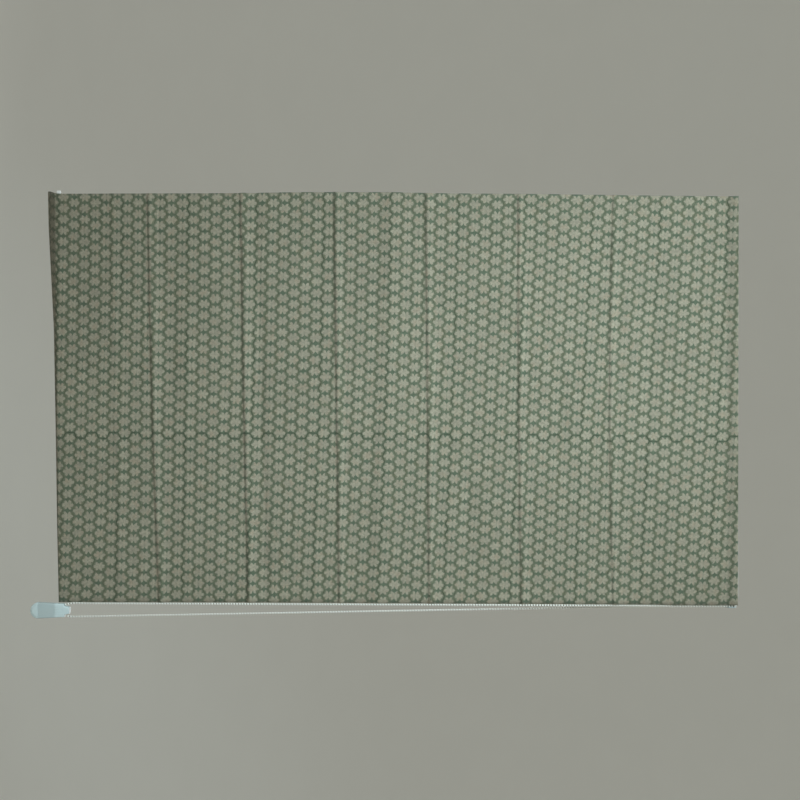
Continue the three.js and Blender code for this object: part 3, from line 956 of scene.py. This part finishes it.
def cloth_faces(rows):
    """Faces of the cloth's front, back and four edges, and each one's material: 1 on the back, else 0."""
    faces, picks = [], []

    def front(i, j):
        return 2 * (j * rows + i)

    def quad(a, b, c, d, pick=0):
        faces.append((a, b, c, d))
        picks.append(pick)

    for j in range(COLUMNS):
        for i in range(rows - 1):
            a, b, c, d = front(i, j), front(i + 1, j), front(i + 1, j + 1), front(i, j + 1)
            quad(a, b, c, d)
            quad(a + 1, d + 1, c + 1, b + 1, pick=1)
        a, d = front(0, j), front(0, j + 1)
        quad(a, d, d + 1, a + 1)
        a, d = front(rows - 1, j), front(rows - 1, j + 1)
        quad(d, a, a + 1, d + 1)
    for i in range(rows - 1):
        a, b = front(i, 0), front(i + 1, 0)
        quad(b, a, a + 1, b + 1)
        a, b = front(i, COLUMNS), front(i + 1, COLUMNS)
        quad(a, b, b + 1, a + 1)
    return faces, picks


def make_cloth():
    corners, flat, rows = cloth_corners()
    faces, picks = cloth_faces(rows)
    materials = [cloth_material("printed_face", back=False), cloth_material("printed_back", back=True)]
    cloth = add_piece("shade_cloth", corners, faces, materials, ("cloth",), picks)
    layer = cloth.data.uv_layers.new(name="flat_cloth")
    for loop in cloth.data.loops:
        x, y = flat[loop.vertex_index]
        layer.data[loop.index].uv = (x * MM, y * MM)


# Hard pieces


def rod_ring(rib, x, radius):
    y = CLOTH_FRONT - rib[3] + ROD_BACK
    return [(x, y + a, line_at(rib, x) + b) for a, b in circle(radius, ROD_SIDES)]


def make_rods(finish):
    """A rod behind each rib, which follows its sag."""
    for number, rib in enumerate(RIBS, 1):
        rings = [rod_ring(rib, ROD_LEFT - ROD_CHAMFER, ROD_RADIUS - ROD_CHAMFER)]
        for k in range(ROD_PARTS + 1):
            rings.append(rod_ring(rib, mix(ROD_LEFT, ROD_RIGHT, k / ROD_PARTS), ROD_RADIUS))
        rings.append(rod_ring(rib, ROD_RIGHT + ROD_CHAMFER, ROD_RADIUS - ROD_CHAMFER))
        corners, faces = loft(rings)
        add_piece(f"rod_{number}", corners, faces, [finish], (f"rib_{number}_rod",))


def wheel_profile():
    """The wheel's outline from its hub at the left to its right face: radius, X."""
    inner, outer = WHEEL_X - GROOVE_HALF, WHEEL_X + GROOVE_HALF
    left, right = inner - FLANGE_THICKNESS, outer + FLANGE_THICKNESS
    profile = [
        (AXLE_HOLE, WHEEL_HUB_LEFT),
        (WHEEL_HUB_RADIUS, WHEEL_HUB_LEFT),
        (WHEEL_HUB_RADIUS, left),
        (FLANGE_RADIUS - FLANGE_CHAMFER, left),
        (FLANGE_RADIUS, left + FLANGE_CHAMFER),
        (FLANGE_RADIUS, inner - GROOVE_CHAMFER),
        (FLANGE_RADIUS - GROOVE_CHAMFER, inner),
    ]
    for k in range(GROOVE_PARTS + 1):
        angle = math.pi * k / GROOVE_PARTS
        radius = WHEEL_RADIUS - GROOVE_HALF * math.sin(angle)
        profile.append((radius, WHEEL_X - GROOVE_HALF * math.cos(angle)))
    profile += [
        (FLANGE_RADIUS - GROOVE_CHAMFER, outer),
        (FLANGE_RADIUS, outer + GROOVE_CHAMFER),
        (FLANGE_RADIUS, right - FLANGE_CHAMFER),
        (FLANGE_RADIUS - FLANGE_CHAMFER, right),
    ]
    profile += [(radius, outer + x) for radius, x in WHEEL_RECESS]
    profile.append((AXLE_HOLE, right))
    return profile


def make_wheel(finish):
    """A grooved wheel on the rail's axis, with a chamfered rim on each flange."""
    rings = []
    for radius, x in wheel_profile():
        rings.append([(x, a, WHEEL_Z + b) for a, b in circle(radius, WHEEL_SIDES)])
    corners, faces = loft(rings)
    wheel = add_piece("drive_wheel", corners, faces, [finish], ("chain_wheel",))
    wheel.data.set_sharp_from_angle(angle=math.radians(40))


def lower_half(radius, parts):
    """The lower half of a circle, leftwards first."""
    angles = [math.pi + math.pi * k / parts for k in range(parts + 1)]
    return [(radius * math.cos(angle), radius * math.sin(angle)) for angle in angles]


def tensioner_outline():
    """Shoulders, tongue, taper and round end, as X and Z from the tensioner's middle."""
    points = [
        (SHOULDER_HALF, SHOULDER_Z),
        (TONGUE_FOOT, SHOULDER_Z),
        (TONGUE_END, TONGUE_TOP),
        (-TONGUE_END, TONGUE_TOP),
        (-TONGUE_FOOT, SHOULDER_Z),
        (-SHOULDER_HALF, SHOULDER_Z),
    ]
    return [(x, z - TENSIONER_Z) for x, z in points] + lower_half(TENSIONER_RADIUS, TENSIONER_PARTS)


def ridge_outline(number):
    """One of the fine ridges on the neck, which lean together towards the top."""
    x = (number - (RIDGES - 1) / 2) * RIDGE_PITCH
    foot = x + x * RIDGE_LEAN
    return [
        (foot - RIDGE_HALF, RIDGE_LOW),
        (foot + RIDGE_HALF, RIDGE_LOW),
        (x + RIDGE_HALF, RIDGE_HIGH),
        (x - RIDGE_HALF, RIDGE_HIGH),
    ]


def make_tensioner(finish):
    """The cover, with its low dome over the round end and fine ridges on the neck."""

    def on_cover(x, z, y):
        return (TENSIONER_X + x, y, TENSIONER_Z + z)

    dome = [(x, z - DOME_DROP) for x, z in lower_half(DOME_RADIUS, DOME_PARTS)]
    parts = [
        rounded_prism(tensioner_outline(), COVER_BACK, COVER_FRONT, COVER_EDGE, on_cover),
        rounded_prism(dome, COVER_FRONT + DOME_SUNK, DOME_FRONT, DOME_EDGE, on_cover, 4),
    ]
    for number in range(RIDGES):
        back, front = COVER_FRONT + RIDGE_SUNK, COVER_FRONT - RIDGE_OUT
        parts.append(rounded_prism(ridge_outline(number), back, front, RIDGE_EDGE, on_cover, 3))
    corners, faces = merge(parts)
    cover = add_piece("tensioner_front", corners, faces, [finish], ("tensioner_cover",))
    cover.data.set_sharp_from_angle(angle=math.radians(40))


def cap_section():
    """A flat section with round corners, as Y and Z from its middle."""
    points = []
    for quarter, (side_y, side_z) in enumerate(((1, -1), (1, 1), (-1, 1), (-1, -1))):
        for k in range(CAP_CORNER_PARTS + 1):
            angle = math.radians(-90 + 90 * (quarter + k / CAP_CORNER_PARTS))
            y = side_y * (CAP_HALF[0] - CAP_CORNER) + CAP_CORNER * math.cos(angle)
            z = side_z * (CAP_HALF[1] - CAP_CORNER) + CAP_CORNER * math.sin(angle)
            points.append((y, z))
    return points


def make_caps(finish):
    """A round-ended cap on each end of the bar, which slopes as the bar does."""
    slope = (BAR_RIGHT_Z - BAR_LEFT_Z) / (X_RIGHT - X_LEFT)
    turn = Matrix.Rotation(-math.atan(slope), 3, "Y")
    middle = Vector((0, 0, (BAR_LEFT_Z + BAR_RIGHT_Z) / 2 + CAP_HALF[1]))

    def on_bar(y, z, x):
        return turn @ Vector((x, BAR_MIDDLE_Y + y, z)) + middle

    for node, name, inner, outer in CAPS:
        corners, faces = rounded_prism(cap_section(), inner, outer, CAP_ROUND, on_bar)
        add_piece(name, corners, faces, [finish], (node,))


def dress_nodes(finishes):
    """Materials for the solids that stay as they are."""
    for name, finish in finishes.items():
        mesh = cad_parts[name].data
        mesh.materials.clear()
        mesh.materials.append(finish)


# Room


def make_camera():
    data = bpy.data.cameras.new("camera")
    data.sensor_width = SENSOR
    data.lens = SENSOR * VIEW_DISTANCE / VIEW_WIDTH
    data.clip_start, data.clip_end = 0.05, 60
    camera = bpy.data.objects.new("camera", data)
    bpy.context.scene.collection.objects.link(camera)
    x, z = VIEW_MIDDLE
    turn = Matrix(((0, -1, 0), (0, 0, -1), (1, 0, 0))).to_4x4()
    camera.matrix_world = Matrix.Translation(Vector((x, CLOTH_FRONT - VIEW_DISTANCE, z)) * MM) @ turn
    bpy.context.scene.camera = camera


def make_room():
    """A pale floor that curves up into a pale wall all round, open at the top."""
    profile = [(FLOOR_MIDDLE, FLOOR_Z), (FLOOR_FLAT, FLOOR_Z)]
    for k in range(1, FLOOR_PARTS + 1):
        angle = math.pi / 2 * k / FLOOR_PARTS
        radius = FLOOR_FLAT + FLOOR_CURVE * math.sin(angle)
        profile.append((radius, FLOOR_Z + FLOOR_RISE * (1 - math.cos(angle))))
    rings = [[(a, b, z) for a, b in circle(radius, FLOOR_SIDES)] for radius, z in profile]
    corners, faces = loft(rings, caps=False)
    faces = [tuple(reversed(face)) for face in faces]
    add_mesh("floor", corners, faces, [floor_material()])


def add_light(name, at, aim, size, watts, colour, spread):
    data = bpy.data.lights.new(name, "AREA")
    data.shape = "RECTANGLE"
    data.size, data.size_y = size
    data.energy = watts
    data.color = colour
    data.spread = math.radians(spread)
    light = bpy.data.objects.new(name, data)
    bpy.context.scene.collection.objects.link(light)
    way = Vector(aim) - Vector(at)
    light.matrix_world = Matrix.Translation(at) @ way.to_track_quat("-Z", "Y").to_matrix().to_4x4()


def make_light():
    world = bpy.data.worlds.new("world")
    world.use_nodes = True
    background = world.node_tree.nodes["Background"]
    background.inputs["Color"].default_value = (*AROUND, 1)
    background.inputs["Strength"].default_value = AROUND_STRENGTH
    bpy.context.scene.world = world
    for row in LIGHTS:
        add_light(*row)
    bpy.context.scene.view_settings.view_transform = "Standard"


def main():
    make_camera()
    make_chain()
    make_cloth()
    white = plastic("moulded_white", WHITE, 0.32, 700.0)
    paint = plastic("white_paint", PAINT_WHITE, 0.30, 1100.0, streaks=(0.05, 1, 1))
    make_rods(plastic("glass_fibre_rod", GLASS_FIBRE, 0.38, 1300.0, streaks=(0.03, 1, 1)))
    make_wheel(white)
    make_tensioner(plastic("tensioner_white", WHITE, 0.32, 700.0, pale_and_shade=pale_ends_shaded_tops))
    make_caps(plastic("cap_white", CAP_WHITE, 0.2, 700.0))
    dress_nodes({
        "headrail": paint,
        "headrail_end": white,
        "chain_drive": white,
        "bottom_bar": paint,
        "tensioner_base": white,
    })
    make_room()
    make_light()


main()
